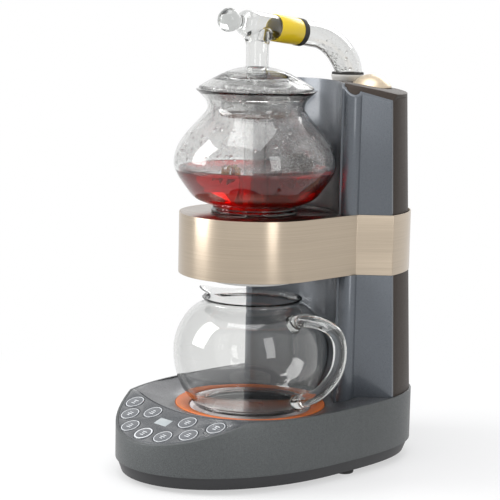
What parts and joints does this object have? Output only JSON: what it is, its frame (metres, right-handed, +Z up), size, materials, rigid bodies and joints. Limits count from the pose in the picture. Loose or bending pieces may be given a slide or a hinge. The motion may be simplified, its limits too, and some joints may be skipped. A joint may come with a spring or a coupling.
{
  "type": "automatic steam tea maker",
  "caption": "Automatic tea maker: steam boiler column, glass brewing pot with lid and lift-off steam arm over a glass serving cup on a warming base with round touch keys.",
  "frame": {"origin": "on the table, under the middle of the whole object's box", "axes": "+Z up, -Y the front with the keys, +X the side of the cup's handle"},
  "size_m": [0.2055, 0.282, 0.3929],
  "materials": {
    "dark_housing": "satin, fine metallic speckle",
    "front_cover": "glossy blue-grey",
    "champagne_steel": "brushed, warm tint",
    "black_plastic": "matte",
    "foot_rubber": "matte",
    "seat_silicone": "satin orange silicone",
    "dish": "satin metallic",
    "plate_metal": "polished",
    "heater_metal": "oxidised",
    "ceramic": "matte",
    "panel": "glossy dark",
    "key": "satin with a light ring",
    "window": "clear window over a grey display",
    "board": "satin circuit board",
    "brown_board": "satin circuit board",
    "light_plastic": "satin",
    "copper_coil": "satin winding",
    "bare_steel": "brushed",
    "clear_glass": "clear",
    "brown_silicone": "satin",
    "red_silicone": "satin",
    "yellow_sleeve": "satin"
  },
  "bodies": {
    "frame": {"base_housing": "dark_housing", "bottom_cover": "black_plastic", "feet": "foot_rubber", "base_screws": "bare_steel", "base_top_plate": "dish", "seat_ring": "seat_silicone", "warming_plate": "plate_metal", "plate_heater": "heater_metal", "plate_thermostat": "ceramic", "control_panel": "panel", "display_window": "window", "control_board": "board", "power_board": "brown_board", "mains_inlet": "black_plastic", "column_front_lower": "front_cover", "column_front_upper": "front_cover", "column_rear_cover": "dark_housing", "column_top_cover": "dark_housing", "steel_band": "champagne_steel", "platform_top_plate": "champagne_steel", "platform_body": "light_plastic", "platform_bottom_cover": "black_plastic", "drip_outlet": "light_plastic", "drain_funnel": "light_plastic", "valve_coil": "copper_coil", "pot_seat_ring": "foot_rubber", "boiler": "bare_steel", "boiler_heater": "heater_metal", "boiler_thermostat": "ceramic", "boiler_bracket": "bare_steel", "steam_pipe": "light_plastic", "steam_socket": "light_plastic", "socket_gasket": "foot_rubber"},
    "serving_cup": {"serving_cup": "clear_glass"},
    "brewing_pot": {"upper_pot": "clear_glass", "drain_strainer": "bare_steel"},
    "stopper": {"pot_stopper": "light_plastic"},
    "pot_lid": {"lid": "clear_glass", "lid_seal": "brown_silicone"},
    "steam_arm": {"glass_arm": "clear_glass", "arm_sleeve": "yellow_sleeve", "arm_sleeve_ring": "foot_rubber"},
    "filler_cap": {"filler_cap": "champagne_steel", "filler_cap_seal": "red_silicone"},
    "key_1": {"button_1": "key"},
    "key_2": {"button_2": "key"},
    "key_3": {"button_3": "key"},
    "key_4": {"button_4": "key"},
    "key_5": {"button_5": "key"},
    "key_6": {"button_6": "key"},
    "key_7": {"button_7": "key"},
    "key_8": {"button_8": "key"},
    "key_9": {"button_9": "key"}
  },
  "joints": [
    {"name": "cup_pull", "type": "slide", "parent": "frame", "child": "serving_cup", "axis": [0, -0.9833, 0.1822], "range_m": [0, 0.215]},
    {"name": "pot_lift", "type": "slide", "parent": "frame", "child": "brewing_pot", "axis": [0, 0, 1], "range_m": [0, 0.12]},
    {"name": "stopper_lift", "type": "slide", "parent": "brewing_pot", "child": "stopper", "axis": [0, 0, 1], "range_m": [0, 0.004]},
    {"name": "lid_lift", "type": "slide", "parent": "brewing_pot", "child": "pot_lid", "axis": [0, 0, 1], "range_m": [0, 0.06]},
    {"name": "arm_lift", "type": "slide", "parent": "pot_lid", "child": "steam_arm", "axis": [0, 0, 1], "range_m": [0, 0.12]},
    {"name": "cap_lift", "type": "slide", "parent": "frame", "child": "filler_cap", "axis": [0, 0, 1], "range_m": [0, 0.04]},
    {"name": "key_1_press", "type": "slide", "parent": "frame", "child": "key_1", "axis": [0, 0.3518, -0.9361], "range_m": [0, 0.0008], "stiffness_N_per_m": 300},
    {"name": "key_2_press", "type": "slide", "parent": "frame", "child": "key_2", "axis": [0, 0.3518, -0.9361], "range_m": [0, 0.0008], "stiffness_N_per_m": 300},
    {"name": "key_3_press", "type": "slide", "parent": "frame", "child": "key_3", "axis": [0, 0.3518, -0.9361], "range_m": [0, 0.0008], "stiffness_N_per_m": 300},
    {"name": "key_4_press", "type": "slide", "parent": "frame", "child": "key_4", "axis": [0, 0.3518, -0.9361], "range_m": [0, 0.0008], "stiffness_N_per_m": 300},
    {"name": "key_5_press", "type": "slide", "parent": "frame", "child": "key_5", "axis": [0, 0.3518, -0.9361], "range_m": [0, 0.0008], "stiffness_N_per_m": 300},
    {"name": "key_6_press", "type": "slide", "parent": "frame", "child": "key_6", "axis": [0, 0.3518, -0.9361], "range_m": [0, 0.0008], "stiffness_N_per_m": 300},
    {"name": "key_7_press", "type": "slide", "parent": "frame", "child": "key_7", "axis": [0, 0.3518, -0.9361], "range_m": [0, 0.0008], "stiffness_N_per_m": 300},
    {"name": "key_8_press", "type": "slide", "parent": "frame", "child": "key_8", "axis": [0, 0.3518, -0.9361], "range_m": [0, 0.0008], "stiffness_N_per_m": 300},
    {"name": "key_9_press", "type": "slide", "parent": "frame", "child": "key_9", "axis": [0, 0.3518, -0.9361], "range_m": [0, 0.0008], "stiffness_N_per_m": 300}
  ]
}
